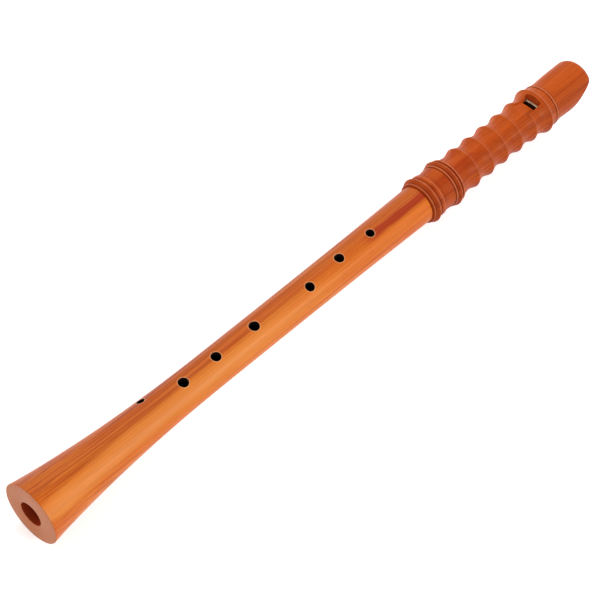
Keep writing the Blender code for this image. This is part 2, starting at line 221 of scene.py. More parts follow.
def turn_about_bore(piece, degrees):
    """Rolls the piece about the bore. For a positive angle its top moves towards +Y."""
    centre = Vector((0.0, 0.0, BORE_Z))
    turn = Matrix.Rotation(-math.radians(degrees), 4, "X")
    piece.data.transform(Matrix.Translation(centre) @ turn @ Matrix.Translation(-centre))


def finish_surface(piece, angle=35.0):
    """Shades round faces smooth and leaves real corners sharp."""
    only(piece)
    bpy.ops.object.shade_smooth_by_angle(angle=math.radians(angle))


# %% [markdown]
# Turned work is made of a few kinds of line: straight runs, round edges, and beads. A round
# edge is an arc between two angles. A bead is a half round that stands up from its foot. A
# Bevel could round the edges later, but points on the outline give each edge its own radius.

# %% Lines of the turner
def arc(x, r, radius, start, end, steps):
    """Points on a circle round (x, r). An angle of 0 looks along +X and 90 outwards."""
    points = []
    for i in range(steps + 1):
        angle = math.radians(start + (end - start) * i / steps)
        points.append((x + radius * math.cos(angle), r + radius * math.sin(angle)))
    return points


def bead(x, width, foot_r, top_r, steps=14):
    """A half round from x to x + width."""
    points = []
    for i in range(1, steps + 1):
        angle = math.pi * i / steps
        place = x + width * (1 - math.cos(angle)) / 2
        points.append((place, foot_r + (top_r - foot_r) * math.sin(angle)))
    return points


# %% [markdown]
# The body joint is one long piece: a flared foot, a slow waist, a shoulder and the tenon,
# which the cork ring is let into. Its outside is a smooth sweep, so two power curves give it
# better than points placed by eye: one below the waist, and a flatter one above. The bore
# narrows to a choke and opens again. For each hole the list gives its place from the foot,
# its width, and its turn round the bore in degrees, towards -Y. The last is the thumb hole.

# %% Body joint: its sizes
BODY_LENGTH = 429.0 * MM
FOOT_R = (body_high.z - body_low.z) / 2
FOOT_EDGE = 0.6 * MM
WAIST_R = 15.5 * MM
WAIST_X = 190.0 * MM
SHOULDER_R = 17.0 * MM
FLARE_POWER = 2.25
UPPER_POWER = 2.6
RIM_RISE = 0.4 * MM
RIM_DECAY = 8.0 * MM
FOOT_BORE_R = 10.8 * MM
CHOKE_BORE_R = 9.8 * MM
CHOKE_X = 110.0 * MM
TOP_BORE_R = 12.4 * MM
FIT_GAP = 0.3 * MM
SOCKET_R = 15.6 * MM
TENON_R = SOCKET_R - FIT_GAP
TENON_EDGE = 0.7 * MM
CORK_R = (cork_high.z - cork_low.z) / 2
CORK_THICKNESS = 1.1 * MM
CORK_SEAT_R = CORK_R - CORK_THICKNESS
SMALL_EDGE = 0.35 * MM

FINGER_HOLES = [(x * MM, width * MM, turn) for x, width, turn in (
    (367.3, 7.4, 0.0),
    (330.4, 8.3, 0.0),
    (292.8, 8.0, 13.0),
    (232.8, 8.8, 0.0),
    (190.6, 8.4, 0.0),
    (155.4, 8.7, 0.0),
    (121.2, 6.8, -44.0),
    (383.0, 7.6, 180.0),
)]


def body_radius(x):
    if x < WAIST_X:
        above_rim = max(x - FOOT_EDGE, 0.0)
        flare = (1 - above_rim / (WAIST_X - FOOT_EDGE)) ** FLARE_POWER
        rim = RIM_RISE * math.exp(-above_rim / RIM_DECAY)
        return WAIST_R + (FOOT_R - RIM_RISE - WAIST_R) * flare + rim
    upper = (x - WAIST_X) / (BODY_LENGTH - WAIST_X)
    return WAIST_R + (SHOULDER_R - WAIST_R) * upper**UPPER_POWER


def bore_radius(x):
    if x < CHOKE_X:
        return CHOKE_BORE_R + (FOOT_BORE_R - CHOKE_BORE_R) * (1 - x / CHOKE_X)
    tenon_end = TENON_END_X - FOOT_X
    return CHOKE_BORE_R + (TOP_BORE_R - CHOKE_BORE_R) * (x - CHOKE_X) / (tenon_end - CHOKE_X)


print(f"foot {2000 * FOOT_R:.1f} mm across, waist {2000 * body_radius(WAIST_X):.1f} mm")

# %% [markdown]
# The outline runs once round the cut wood: over the foot, up the outside, round the tenon
# and back down the bore. Equal steps would be too coarse at the holes or waste faces between
# them, so the rings of faces lie close together near each hole only.

# %% Body joint: its outline
HOLE_STEP = 0.55 * MM
PLAIN_STEP = 4.0 * MM
HOLE_REACH = 5.5 * MM
FIRST_RING_X = 2 * MM
LAST_RING_X = BODY_LENGTH - 1.5 * MM
BORE_STEPS = 8
BODY_SIDES = 160


def body_stations():
    """Places along the body where a ring of faces begins: close together round each hole."""
    places = []
    x = FIRST_RING_X
    while x < LAST_RING_X:
        places.append(x)
        near = min(abs(x - hole_x) for hole_x, _, _ in FINGER_HOLES)
        x += HOLE_STEP if near < HOLE_REACH else min(PLAIN_STEP, near - HOLE_REACH + HOLE_STEP)
    return places


def body_outline():
    end = TENON_END_X - FOOT_X
    cork_start = cork_low.x - FIT_GAP - FOOT_X
    cork_end = cork_high.x + FIT_GAP - FOOT_X
    outline = [(SMALL_EDGE * 0.3, FOOT_BORE_R), (0.0, FOOT_BORE_R + SMALL_EDGE)]
    outline += [(0.0, FOOT_R - FOOT_EDGE)]
    outline += arc(FOOT_EDGE, FOOT_R - FOOT_EDGE, FOOT_EDGE, 170, 100, 5)
    outline += [(x, body_radius(x)) for x in body_stations()]
    outline += arc(BODY_LENGTH - SMALL_EDGE, SHOULDER_R - SMALL_EDGE, SMALL_EDGE, 90, 0, 4)
    outline += [(BODY_LENGTH, TENON_R), (cork_start, TENON_R), (cork_start, CORK_SEAT_R)]
    outline += [(cork_end, CORK_SEAT_R), (cork_end, TENON_R)]
    outline += arc(end - TENON_EDGE, TENON_R - TENON_EDGE, TENON_EDGE, 90, 0, 5)
    for i in range(BORE_STEPS + 1):
        x = end + (CHOKE_X - end) * i / BORE_STEPS
        outline.append((x, bore_radius(x)))
    return [(FOOT_X + x, radius) for x, radius in outline]


body = lathe("recorder_body", body_outline(), BODY_SIDES)

# %% [markdown]
# The finger holes are drilled square to the bore. The seventh is set off to one side for the
# little finger, and the thumb hole is underneath. A player's fingers need a soft rim. A Bevel
# modifier would round every other edge too, so the rim of each hole is pressed in a little
# with proportional editing, and the wood near it follows.

# %% Body joint: the finger holes
DRILL_SIDES = 72
DRILL_SPARE = 6 * MM
RIM_WIDTH = 0.02 * MM
RIM_DEPTH = 0.6 * MM
RIM_PRESS = 0.32 * MM
RIM_REACH = 1.1 * MM


def drill_hole(piece, x, diameter, turn):
    outer = body_radius(x) + DRILL_SPARE
    bpy.ops.object.select_all(action="DESELECT")
    bpy.ops.mesh.primitive_cylinder_add(
        vertices=DRILL_SIDES,
        radius=diameter / 2,
        depth=outer,
        location=(FOOT_X + x, 0.0, BORE_Z + outer / 2),
    )
    tool = bpy.context.object
    tool.name = "drill"
    bpy.ops.object.transform_apply(location=True, rotation=True, scale=True)
    turn_about_bore(tool, -turn)
    cut(piece, tool)


def soften_rim(piece, x, diameter, turn):
    outwards = Vector((0.0, -math.sin(math.radians(turn)), math.cos(math.radians(turn))))
    centre = Vector((FOOT_X + x, 0.0, BORE_Z))
    only(piece)
    bpy.ops.object.mode_set(mode="EDIT")
    bpy.ops.mesh.select_all(action="DESELECT")
    shape = bmesh.from_edit_mesh(piece.data)
    for corner in shape.verts:
        offset = corner.co - centre
        height = offset.dot(outwards)
        off_axis = (offset - outwards * height).length
        from_bore = Vector((offset.y, offset.z)).length
        at_hole = abs(off_axis - diameter / 2) < RIM_WIDTH
        corner.select = at_hole and from_bore > body_radius(x) - RIM_DEPTH and height > 0
    shape.select_flush_mode()
    bmesh.update_edit_mesh(piece.data)
    bpy.ops.transform.translate(
        value=-outwards * RIM_PRESS,
        use_proportional_edit=True,
        proportional_edit_falloff="SMOOTH",
        proportional_size=RIM_REACH,
    )
    bpy.ops.object.mode_set(mode="OBJECT")


for hole in FINGER_HOLES:
    drill_hole(body, *hole)
    soften_rim(body, *hole)
finish_surface(body)
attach(body, "body")
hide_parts("body_joint")

# %% [markdown]
# The cork ring is a strip of cork glued round the tenon. It could be a thick tube with a
# Bevel, but the lathe is ready, so it is turned too. Its edges are a little rounded where the
# socket has rubbed them.

# %% Cork ring
CORK_INNER_R = CORK_SEAT_R + FIT_GAP
CORK_EDGE = 0.35 * MM
SMALL_PIECE_SIDES = 128

cork_outline = [(cork_low.x, CORK_INNER_R)]
cork_outline += arc(cork_low.x + CORK_EDGE, CORK_R - CORK_EDGE, CORK_EDGE, 180, 90, 5)
cork_outline += arc(cork_high.x - CORK_EDGE, CORK_R - CORK_EDGE, CORK_EDGE, 90, 0, 5)
cork_outline += [(cork_high.x, CORK_INNER_R)]
cork = lathe("cork_ring", cork_outline, SMALL_PIECE_SIDES)
finish_surface(cork)
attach(cork, "cork")
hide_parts("tenon_cork")

# %% [markdown]
# The head joint carries all the ornament. From its lower end up: a lip and a bead round the
# socket's mouth, a ring with a sharp edge, a bead, a plain barrel, a second sharp ring with a
# bead on each side, and the rippled grip. A cove climbs from it to the flange at the window.
# Above the flange is one more bead, and then the plain beak. Each bead and ring is given by
# its start, its width and its top radius. All places are counted from the socket's mouth.

# %% Head joint: its sizes
TENON_LENGTH = TENON_END_X - FOOT_X - BODY_LENGTH
GROOVE_DEPTH = 0.7 * MM
LIP_R = 18.2 * MM
LIP_BEAD = (0.3 * MM, 1.8 * MM, 19.0 * MM)
LOWER_RING = (2.5 * MM, 6.4 * MM, 21.1 * MM)
LOWER_BEAD = (9.1 * MM, 6.4 * MM, 19.7 * MM)
BARREL_X = 19.2 * MM
BARREL_R = 18.4 * MM
UPPER_LIP = (27.0 * MM, 2.6 * MM, 19.9 * MM)
UPPER_RING = (30.0 * MM, 5.0 * MM, 21.55 * MM)
UPPER_BEAD = (35.1 * MM, 2.8 * MM, 20.4 * MM)
RIPPLES = 5
GRIP_X = 38.85 * MM
GRIP_START_R = 19.2 * MM
CREST_R = 18.75 * MM
VALLEY_R = 16.05 * MM
GRIP_SWELL = 0.65 * MM
LAST_HOLLOW_LENGTH = 18.2 * MM
RIDGE_LAND = 0.4 * MM
COVE_LENGTH = 11.6 * MM
COVE_R = 17.5 * MM
FLANGE_X = HEAD_LENGTH - 58.9 * MM
FLANGE_R = 21.5 * MM
FLANGE_LAND = 0.8 * MM
FLANGE_EDGE = 0.2 * MM
BEAK_BEAD = (HEAD_LENGTH - 50.4 * MM, 2.6 * MM, 19.8 * MM)
BEAK_NECK_X = HEAD_LENGTH - 41.5 * MM
BEAK_NECK_R = 18.65 * MM
BEAK_SWELL_X = HEAD_LENGTH - 20.0 * MM
BEAK_R = 19.35 * MM
TIP_ROUNDING = 7.0 * MM
TIP_DROP = 4.4 * MM
HEAD_BORE_R = 12.8 * MM
RIPPLE_PITCH = (FLANGE_X - LAST_HOLLOW_LENGTH - GRIP_X) / RIPPLES
print(f"{RIPPLES} ripples, {1000 * RIPPLE_PITCH:.1f} mm from crest to crest")

# %% [markdown]
# Two kinds of ring are cut on the lathe. A bead has a groove beside it, which makes it stand
# out. A sharp ring has two straight flanks and a narrow edge. Points on the outline are
# simpler here than loops added to a finished head.

# %% Head joint: beads and rings
def ring(x, width, top_r, foot_r):
    """A bead with the groove's bottom at its start."""
    return [(x, foot_r)] + bead(x, width, foot_r, top_r)


def ridge(x, width, top_r):
    """A ring with two straight flanks and a narrow edge, which is a little rounded."""
    middle = x + width / 2
    foot_r = top_r - 3 * GROOVE_DEPTH
    outline = [(x, foot_r)]
    outline += arc(middle, top_r - RIDGE_LAND, RIDGE_LAND, 140, 40, 6)
    return outline + [(x + width, foot_r)]


def rings_at_the_socket():
    outline = [(0.0, LIP_R - SMALL_EDGE), (SMALL_EDGE / 2, LIP_R)]
    outline += ring(*LIP_BEAD, LIP_R)
    outline += ridge(*LOWER_RING)
    outline += ring(*LOWER_BEAD, LOWER_BEAD[2] - GROOVE_DEPTH)
    outline += [(BARREL_X, BARREL_R)]
    outline += ring(*UPPER_LIP, UPPER_LIP[2] - GROOVE_DEPTH)
    outline += ridge(*UPPER_RING)
    outline += ring(*UPPER_BEAD, UPPER_BEAD[2] - GROOVE_DEPTH)
    return outline


# %% [markdown]
# The hollows of the grip are cut with a round gouge, and the wood left between two of them is
# the crest. A sine wave would make crests as round as the valleys, which is wrong here. A
# power curve falls steeply from each crest and is flat in the valley, and a much higher
# power takes a trace off the crest itself, as wear does.

# %% Head joint: the grip
HOLLOW_POWER = 1.8
HOLLOW_STEPS = 24
CREST_WEAR = 0.06
WEAR_POWER = 12


def swell(x):
    """The grip is thinnest at its middle crest and swells a little to both ends."""
    middle = GRIP_X + RIPPLE_PITCH * (RIPPLES + 1) / 2
    reach = RIPPLE_PITCH * (RIPPLES - 1) / 2
    return GRIP_SWELL * ((x - middle) / reach) ** 2


def hollow(start, valley, end):
    """From one crest down into a valley and up to the next. Both crests are a little worn."""
    half = HOLLOW_STEPS // 2
    points = []
    for i in range(HOLLOW_STEPS + 1):
        crest = start if i < half else end
        part = abs(i / half - 1)
        worn = part**HOLLOW_POWER - CREST_WEAR * part**WEAR_POWER
        x = valley[0] + (crest[0] - valley[0]) * part
        points.append((x, valley[1] + (crest[1] - valley[1]) * worn))
    return points


def grip_and_cove():
    crests = [(GRIP_X, GRIP_START_R)]
    for i in range(1, RIPPLES + 1):
        x = GRIP_X + RIPPLE_PITCH * i
        crests.append((x, CREST_R + swell(x)))
    outline = []
    for start, end in zip(crests, crests[1:]):
        x = (start[0] + end[0]) / 2
        outline += hollow(start, (x, VALLEY_R + swell(x)), end)[:-1]
    cove = (FLANGE_X - COVE_LENGTH, COVE_R)
    return outline + hollow(crests[-1], cove, (FLANGE_X, FLANGE_R))[:-1]


# %% [markdown]
# From the flange the wood falls to the last bead, narrows to a neck, swells to the beak and
# rounds over at the tip. Quarter waves join these without a corner.

# %% Head joint: flange, beak and the turned head
FALL_STEPS = 12
NECK_STEPS = 8
HEAD_SIDES = 160


def flange_and_beak():
    bead_x, bead_width, bead_r = BEAK_BEAD
    bead_foot = bead_r - GROOVE_DEPTH / 2
    outline = arc(FLANGE_X + FLANGE_EDGE, FLANGE_R - FLANGE_EDGE, FLANGE_EDGE, 160, 90, 4)
    start = FLANGE_X + FLANGE_LAND
    for i in range(FALL_STEPS + 1):
        part = i / FALL_STEPS
        drop = math.sin(math.pi / 2 * part)
        x = start + (bead_x - start) * part
        outline.append((x, FLANGE_R + (bead_foot - FLANGE_R) * drop))
    outline += bead(bead_x, bead_width, bead_foot, bead_r)
    for i in range(NECK_STEPS + 1):
        x = BEAK_NECK_X + (BEAK_SWELL_X - BEAK_NECK_X) * i / NECK_STEPS
        rise = math.sin(math.pi / 2 * i / NECK_STEPS)
        outline.append((x, BEAK_NECK_R + (BEAK_R - BEAK_NECK_R) * rise))
    for i in range(FALL_STEPS + 1):
        angle = math.pi / 2 * i / FALL_STEPS
        x = HEAD_LENGTH - TIP_ROUNDING * (1 - math.sin(angle))
        outline.append((x, BEAK_R - TIP_DROP * (1 - math.cos(angle))))
    return outline


def head_outline():
    outline = rings_at_the_socket() + grip_and_cove() + flange_and_beak()
    outline += [(HEAD_LENGTH, HEAD_BORE_R), (TENON_LENGTH, HEAD_BORE_R)]
    outline += [(TENON_LENGTH, SOCKET_R), (SMALL_EDGE, SOCKET_R), (0.0, SOCKET_R + SMALL_EDGE)]
    return [(HEAD_X + x, radius) for x, radius in outline]


head = lathe("recorder_head", head_outline(), HEAD_SIDES)

# %% [markdown]
# The voice of a recorder is five flat cuts. The windway is a thin slot over the block, and
# the throat carries its sides on to the labium. The window is cut down to the bore. The ramp
# falls from the grip to a thin edge, the labium, and the labium is thinned from below. Each
# is a planed block, because a plane's place and lean can be read off the real cut. The
# blocks are rolled with the head, which stands a little turned on its body in the photo.

# %% Head joint: how the flat cuts are given
HEAD_TURN = 6.0
WINDOW_HALF = 7.1 * MM
WINDOW_SPLAY = 0.22
CUT_UP = 5.2 * MM
LABIUM_X = BLOCK_X - CUT_UP
LABIUM_Z = BORE_Z + HEAD_BORE_R + 0.5 * MM
FLOOR_Z = BORE_Z + HEAD_BORE_R + 0.3 * MM
LOW_Z = BORE_Z + HEAD_BORE_R / 2
OVERLAP = 0.5 * MM
BEAK_CENTRE_X = BLOCK_X + 0.45 * TOOL_SIZE
TO_FOOT, TO_BEAK = (-1.0, 0.0, 0.0), (1.0, 0.0, 0.0)
UPWARDS, DOWNWARDS = (0.0, 0.0, 1.0), (0.0, 0.0, -1.0)


def side_planes(half, x, z, splay=0.0, flare=0.0):
    """The two sides of a cut: half its width at x and z, wider upwards and to the foot."""
    return [((x, side * half, z), (flare, side, -splay)) for side in (-1, 1)]


def flat_tool(name, centre_x, sides, *others):
    """A block planed to its two sides, and then to planes given by x, z and a normal."""
    planes = sides + [((x, 0.0, z), normal) for x, z, normal in others]
    tool = planed_block(name, (centre_x, 0.0, BORE_Z), planes)
    turn_about_bore(tool, HEAD_TURN)
    return tool


print(f"window {2000 * WINDOW_HALF:.1f} mm wide, cut up {1000 * CUT_UP:.1f} mm")

# %% [markdown]
# The windway and the throat are cut first, from the tip of the beak to the labium. The
# windway is a little higher where the player blows in. Both overlap by a hair, because two
# tools that only touch would leave a skin of wood between them.

# %% Head joint: windway and throat
WINDWAY_EXIT = 1.3 * MM
WINDWAY_ENTRY = 2.0 * MM
climb = math.atan2(WINDWAY_ENTRY - WINDWAY_EXIT, TIP_X - BLOCK_X)
straight_sides = side_planes(WINDOW_HALF, BLOCK_X, FLOOR_Z)

cut(head, flat_tool(
    "windway_tool", BEAK_CENTRE_X, straight_sides,
    (BLOCK_X - OVERLAP, FLOOR_Z, TO_FOOT),
    (BLOCK_X, FLOOR_Z + WINDWAY_EXIT, (-math.sin(climb), 0.0, math.cos(climb))),
    (0.0, LOW_Z, DOWNWARDS),
))
cut(head, flat_tool(
    "throat_tool", BLOCK_X, straight_sides,
    (LABIUM_X, FLOOR_Z, TO_FOOT),
    (BLOCK_X + OVERLAP, FLOOR_Z, TO_BEAK),
    (BLOCK_X, LABIUM_Z, UPWARDS),
    (0.0, LOW_Z, DOWNWARDS),
))

# %% [markdown]
# The window opens from above. Its sides splay outwards, and its upper wall leans back over
# the block. The ramp then falls to the labium with sides that open towards the grip. Last,
# the labium is thinned from inside the bore, which leaves the fine edge that splits the air.

# %% Head joint: window, ramp and labium
WALL_LEAN = math.radians(16.0)
RAMP_ANGLE = math.radians(13.0)
RAMP_LENGTH = 21.4 * MM
RAMP_FLARE = 1.4 * MM / RAMP_LENGTH
LABIUM_THICKNESS = 0.6 * MM
RELIEF_LENGTH = 16.0 * MM
HAIR = 0.01 * MM
labium_under = LABIUM_Z - LABIUM_THICKNESS
fall = math.atan2(labium_under - LOW_Z, RELIEF_LENGTH)

cut(head, flat_tool(
    "window_tool", BLOCK_X, side_planes(WINDOW_HALF, LABIUM_X, LABIUM_Z, WINDOW_SPLAY),
    (LABIUM_X, LABIUM_Z, TO_FOOT),
    (BLOCK_X, FLOOR_Z, (math.cos(WALL_LEAN), 0.0, -math.sin(WALL_LEAN))),
    (0.0, LOW_Z, DOWNWARDS),
))
cut(head, flat_tool(
    "ramp_tool", BLOCK_X,
    side_planes(WINDOW_HALF, LABIUM_X, LABIUM_Z, WINDOW_SPLAY, RAMP_FLARE),
    (LABIUM_X + HAIR, LABIUM_Z, TO_BEAK),
    (LABIUM_X - RAMP_LENGTH, LABIUM_Z, TO_FOOT),
    (LABIUM_X, LABIUM_Z, (-math.sin(RAMP_ANGLE), 0.0, -math.cos(RAMP_ANGLE))),
))
cut(head, flat_tool(
    "relief_tool", BLOCK_X,
    side_planes(WINDOW_HALF - LABIUM_THICKNESS, LABIUM_X, labium_under),
    (LABIUM_X + CUT_UP / 2, labium_under, TO_BEAK),
    (LABIUM_X, labium_under, UPWARDS),
    (LABIUM_X, labium_under, (-math.sin(fall), 0.0, math.cos(fall))),
    (0.0, LOW_Z, DOWNWARDS),
))

# %% [markdown]
# Under the beak a broad hollow is cut away, so that the lips can close round the tip. A plane
# would cut it flat, so the knife's shape starts as a fine grid. Each point is laid on the
# slope, which is a little hollow along its length and stands higher at its two sides, and the
# grid is then extruded straight down. The same knife trims the block, so it is made twice.

# %% Head joint: the cut under the beak
BEAK_CUT_LENGTH = 33.0 * MM
BEAK_CUT_TIP = 8.5 * MM
BEAK_CUT_START = 0.5 * MM
BEAK_CUT_HOLLOW = 1.0 * MM
BEAK_CUT_SIDE_RISE = 5.0 * MM
KNIFE_STEPS = 32
KNIFE_HALF = BEAK_R + 10 * MM
KNIFE_OVERRUN = 1.1
KNIFE_DEPTH = 80 * MM


def lay_on_slope(knife):
    start = Vector((TIP_X - BEAK_CUT_LENGTH, BORE_Z - BEAK_R - BEAK_CUT_START))
    end = Vector((TIP_X, BORE_Z + BEAK_CUT_TIP))
    slope = end - start
    normal = Vector((-slope.y, slope.x)).normalized()
    for corner in knife.data.vertices:
        part = (corner.co.x + 1) * KNIFE_OVERRUN / 2
        across = corner.co.y * KNIFE_HALF
        place = start + slope * part + normal * BEAK_CUT_HOLLOW * math.sin(math.pi * part)
        rise = BEAK_CUT_SIDE_RISE * (across / BEAK_R) ** 2
        corner.co = (place.x, across, place.y + rise)


def beak_knife():
    bpy.ops.object.select_all(action="DESELECT")
    bpy.ops.mesh.primitive_grid_add(
        x_subdivisions=KNIFE_STEPS, y_subdivisions=KNIFE_STEPS, size=2.0
    )
    knife = bpy.context.object
    knife.name = "beak_knife"
    lay_on_slope(knife)
    only(knife)
    bpy.ops.object.mode_set(mode="EDIT")
    bpy.ops.mesh.select_all(action="SELECT")
    bpy.ops.mesh.extrude_region_move(TRANSFORM_OT_translate={"value": (0.0, 0.0, -KNIFE_DEPTH)})
    bpy.ops.mesh.select_all(action="SELECT")
    bpy.ops.mesh.normals_make_consistent(inside=False)
    bpy.ops.object.mode_set(mode="OBJECT")
    turn_about_bore(knife, HEAD_TURN)
    return knife


cut(head, beak_knife())
finish_surface(head)
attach(head, "head")
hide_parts("head_joint")

# %% [markdown]
# The block is a plug of cedar. Its top carries the raised floor of the windway, with a
# chamfer at the window that lets the air spread. The plug is turned and the floor is planed,
# as the maker does it, and a Boolean unites the two. The outer end is trimmed flush with the
# cut under the beak.

# %% Block
BLOCK_R = HEAD_BORE_R - FIT_GAP
BLOCK_CHAMFER = 1.1 * MM
BLOCK_EDGE = 0.4 * MM

block_outline = [(BLOCK_X, 0.0)]
block_outline += arc(BLOCK_X + BLOCK_EDGE, BLOCK_R - BLOCK_EDGE, BLOCK_EDGE, 180, 90, 4)
block_outline += [(TIP_X, BLOCK_R), (TIP_X, 0.0)]
block = lathe("cedar_block", block_outline, SMALL_PIECE_SIDES)
cut(block, flat_tool(
    "land", BEAK_CENTRE_X, side_planes(WINDOW_HALF - FIT_GAP, BLOCK_X, FLOOR_Z),
    (BLOCK_X, FLOOR_Z, TO_FOOT),
    (TIP_X, FLOOR_Z, TO_BEAK),
    (0.0, FLOOR_Z, UPWARDS),
    (BLOCK_X, FLOOR_Z - BLOCK_CHAMFER, (-1.0, 0.0, 1.0)),
    (0.0, LOW_Z, DOWNWARDS),
), "UNION")
cut(block, beak_knife())
finish_surface(block)
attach(block, "block")
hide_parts("block")

# %% [markdown]
# Node trees are easier to read when each step is one short call. These helpers add a node,
# set what is constant on it, and link what varies. Every finish below is built from masks
# that run from 0 to 1, stains laid on where a mask says so, stretched noise, and a relief.

# %% Helpers for materials
def blank_material(name):
    """A new material, with its tree and its shader."""
    material = bpy.data.materials.new(name)
    material.use_nodes = True
    return material, material.node_tree, material.node_tree.nodes["Principled BSDF"]


def grow(tree, kind, inputs=None, **settings):
    """Adds a node. An input is linked if a socket is given for it, and set otherwise."""
    node = tree.nodes.new(kind)
    for name, value in settings.items():
        setattr(node, name, value)
    for name, value in (inputs or {}).items():
        if isinstance(value, bpy.types.NodeSocket):
            tree.links.new(value, node.inputs[name])
        else:
            node.inputs[name].default_value = value
    return node


def coordinate(tree, kind):
    """Where each point is, for Object, or the way its face looks, for Normal."""
    return grow(tree, "ShaderNodeTexCoord").outputs[kind]


def split(tree, vector):
    return grow(tree, "ShaderNodeSeparateXYZ", {0: vector}).outputs


def length(tree, vector):
    return grow(tree, "ShaderNodeVectorMath", {0: vector}, operation="LENGTH").outputs["Value"]


def calc(tree, operation, first, second=0.0, third=0.0):
    """One step of arithmetic. The third value is only used by MULTIPLY_ADD."""
    inputs = {0: first, 1: second, 2: third}
    return grow(tree, "ShaderNodeMath", inputs, operation=operation).outputs[0]


def times(tree, first, second):
    return calc(tree, "MULTIPLY", first, second)


def rest_of(tree, value):
    """What is left of 1."""
    return calc(tree, "SUBTRACT", 1.0, value)


def fade(tree, value, start, end):
    """0 at start, 1 at end, and smooth between them."""
    inputs = {"Value": value, "From Min": start, "From Max": end}
    settings = {"interpolation_type": "SMOOTHSTEP"}
    return grow(tree, "ShaderNodeMapRange", inputs, **settings).outputs[0]


def within(tree, value, start, end):
    """1 up to start, 0 from end, and smooth between them."""
    return rest_of(tree, fade(tree, value, start, end))


def blend(tree, amount, first, second):
    inputs = {0: amount, 6: first, 7: second}
    return grow(tree, "ShaderNodeMix", inputs, data_type="RGBA").outputs[2]


def stain(tree, base, where, strength, tone):
    """Lays a tone over the base at this strength, where the mask is 1."""
    return blend(tree, times(tree, where, strength), base, tone)


def noise(tree, place, scale, detail=3.0, roughness=0.5, shift=(0.0, 0.0, 0.0)):
    """Noise stretched by a scale for each axis, in waves per metre."""
    inputs = {"Vector": place, "Location": shift, "Scale": scale}
    moved = grow(tree, "ShaderNodeMapping", inputs).outputs[0]
    inputs = {"Vector": moved, "Scale": 1.0, "Detail": detail, "Roughness": roughness}
    return grow(tree, "ShaderNodeTexNoise", inputs).outputs[0]


def relief(tree, shader, height, strength, distance):
    """Raises the surface by a height, seen only in how it takes the light."""
    inputs = {"Height": height, "Strength": strength, "Distance": distance}
    bump = grow(tree, "ShaderNodeBump", inputs)
    tree.links.new(bump.outputs[0], shader.inputs["Normal"])


def colour(*screen_values):
    """A colour picked as screen values from 0 to 255, as the linear values of nodes."""
    linear = []
    for v in screen_values:
        linear.append(((v / 255 + 0.055) / 1.055) ** 2.4 if v > 10 else v / 255 / 12.92)
    return (*linear, 1.0)


def dress(piece, material):
    piece.data.materials.clear()
    piece.data.materials.append(material)
    print(f"{piece.name}: {material.name}, {len(material.node_tree.nodes)} nodes")


# %% [markdown]
# The wood is a fruit wood, oiled and rubbed to a soft shine. A picture wrapped round it would
# show a seam and no true end grain, so the pattern is worked out in space, as in a real
# plank that was turned. The heart of the tree lies far off to one side. What matters for a
# point is its distance from the heart, its distance from the bore, and how far its face
# looks along the grain.

# %% Where a point lies in the tree
HEART_DISTANCE = 80 * MM
HEART_BLUR = 9 * MM
FAR_SIDE_GRAIN = 0.35


def distance_from(tree, place, y, z):
    """How far a point is from a line that runs along X through this y and z."""
    inputs = {"Vector": place, "Location": (0.0, -y, -z), "Scale": (0, 1, 1)}
    return length(tree, grow(tree, "ShaderNodeMapping", inputs).outputs[0])


def spot_in_tree(tree, heart_side):
    """The measures of a point that the wood's pattern is made from."""
    place = coordinate(tree, "Object")
    x, y, z = split(tree, place)
    reach = heart_side * HEART_DISTANCE
    heart_z = BORE_Z + reach * math.sin(VIEW_ROLL)
    from_heart = distance_from(tree, place, reach * math.cos(VIEW_ROLL), heart_z)
    near, far = HEART_DISTANCE - HEART_BLUR, HEART_DISTANCE + HEART_BLUR
    # The side near the heart has the strongest year lines, and a painted shade as well.
    heartward_and_shade = within(tree, from_heart, near, far)
    return SimpleNamespace(
        place=place, x=x, y=y, z=z,
        facing=calc(tree, "ABSOLUTE", split(tree, coordinate(tree, "Normal"))[0]),
        from_bore=distance_from(tree, place, 0.0, BORE_Z),
        from_heart=from_heart,
        heartward_and_shade=heartward_and_shade,
        lively=calc(tree, "MULTIPLY_ADD", heartward_and_shade, 1 - FAR_SIDE_GRAIN, FAR_SIDE_GRAIN),
        along_rings=grow(tree, "ShaderNodeCombineXYZ", {0: x, 1: from_heart, 2: z}).outputs[0],
    )


# %% [markdown]
# The year rings show as long straight lines, stronger on the side near the heart. Between
# them run fine stripes, fibres and short dark pores, and broad patches are lighter and darker.
# Each is noise or a repeating ramp, stretched along the grain, and laid on in turn as a thin
# dark stain, and so is a painted shade that darkens the side near the heart.

# %% The grain
def year_lines(tree, spot, look):
    """Dark lines where the surface cuts the year rings: 0 between them and 1 on a line."""
    drift = times(tree, noise(tree, spot.place, (3, 25, 25), 2.0), look["drift"])
    depth = calc(tree, "ADD", spot.from_heart, drift)
    years = calc(tree, "FRACT", calc(tree, "DIVIDE", depth, look["ring"]))
    late = times(tree, fade(tree, years, 0.45, 0.92), within(tree, years, 0.92, 1.0))
    patches = noise(tree, spot.place, (7, 90, 90), 2.0, 0.5, (0.6, 0.2, 0.4))
    return times(tree, late, fade(tree, patches, 0.3, 0.65))


def grain(tree, spot, look):
    """The colour of the plain wood, its fibres and pores, and a painted shade near the heart.
    """
    broad = noise(tree, spot.place, (5, 60, 60), 3.0, 0.6, (0.3, 0.1, 0.7))
    stripe = fade(tree, noise(tree, spot.along_rings, (2, 560, 120), 3.0, 0.7), 0.46, 0.62)
    fibre = fade(tree, noise(tree, spot.along_rings, (16, 950, 300), 4.0, 0.7), 0.3, 0.7)
    pore = fade(tree, noise(tree, spot.place, (170, 2600, 2600), 2.0, 0.5), 0.62, 0.72)
    base = blend(tree, fade(tree, broad, 0.3, 0.72), look["light"], look["deep"])
    stains = {
        # Painted shade: the side near the heart is painted darker.
        "shade": spot.heartward_and_shade,
        "line": times(tree, year_lines(tree, spot, look), spot.lively),
        "stripe": times(tree, stripe, spot.lively),
        "fibre": fibre,
        "pore": pore,
    }
    for strength, where in stains.items():
        base = stain(tree, base, where, look[strength], look["dark"])
    return base, fibre, pore
